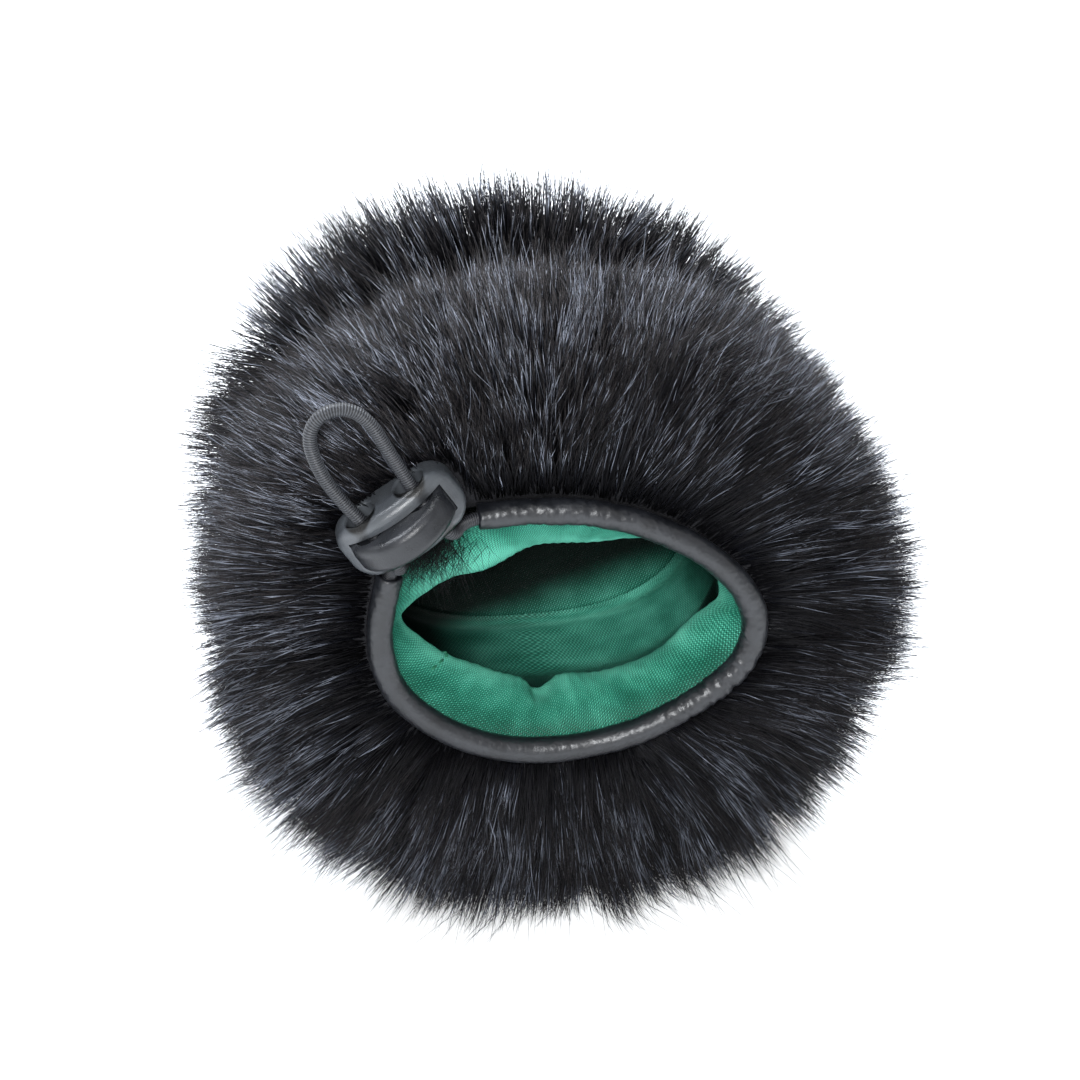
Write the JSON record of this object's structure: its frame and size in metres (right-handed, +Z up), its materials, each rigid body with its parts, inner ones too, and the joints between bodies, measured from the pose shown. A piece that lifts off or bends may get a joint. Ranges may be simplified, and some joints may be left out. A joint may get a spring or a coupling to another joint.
{
  "type": "fur microphone wind cover",
  "caption": "Round long-pile fur wind cover for a microphone, lying on its side, with a knit lining, a piped oval mouth, an elastic drawcord and a spring cord lock.",
  "frame": {"origin": "on the plane that the cover rests on, straight below the bag's axis, between its two seams", "axes": "+Z up, -Y out of the bag's mouth along its axis, +X to the right as the mouth is looked into"},
  "size_m": [0.121, 0.1005, 0.1185],
  "materials": {
    "fur": "matte",
    "lining": "matte",
    "piping": "satin",
    "thread": "matte",
    "cord": "matte",
    "joint": "matte",
    "lock": "satin",
    "spring": "satin"
  },
  "bodies": {
    "cover": {"fur_front_panel": "fur", "fur_side_panel": "fur", "fur_end_cap": "fur", "lining_front_band": "lining", "lining_side": "lining", "lining_end": "lining", "mouth_piping": "piping", "piping_thread": "thread", "fur_front_seam_thread": "thread", "fur_end_seam_thread": "thread", "fur_side_seam_thread": "thread", "lining_front_seam_thread": "thread", "lining_end_seam_thread": "thread", "lining_side_seam_thread": "thread", "lining_band_seam_thread": "thread", "drawcord_in_channel": "cord", "drawcord_loop": "cord", "drawcord_joint": "joint"},
    "cord_lock": {"lock_barrel": "lock", "lock_spring": "spring"},
    "lock_plunger": {"lock_plunger": "lock"}
  },
  "joints": [
    {"name": "lock_slide", "type": "slide", "parent": "cover", "child": "cord_lock", "axis": [-0.5534, 0, 0.8329], "range_m": [0, 0.009]},
    {"name": "plunger_press", "type": "slide", "parent": "cord_lock", "child": "lock_plunger", "axis": [0, 1, 0], "range_m": [0, 0.0024], "stiffness_N_per_m": 800, "springref_m": -0.003, "deforming": ["lock_spring"]}
  ]
}
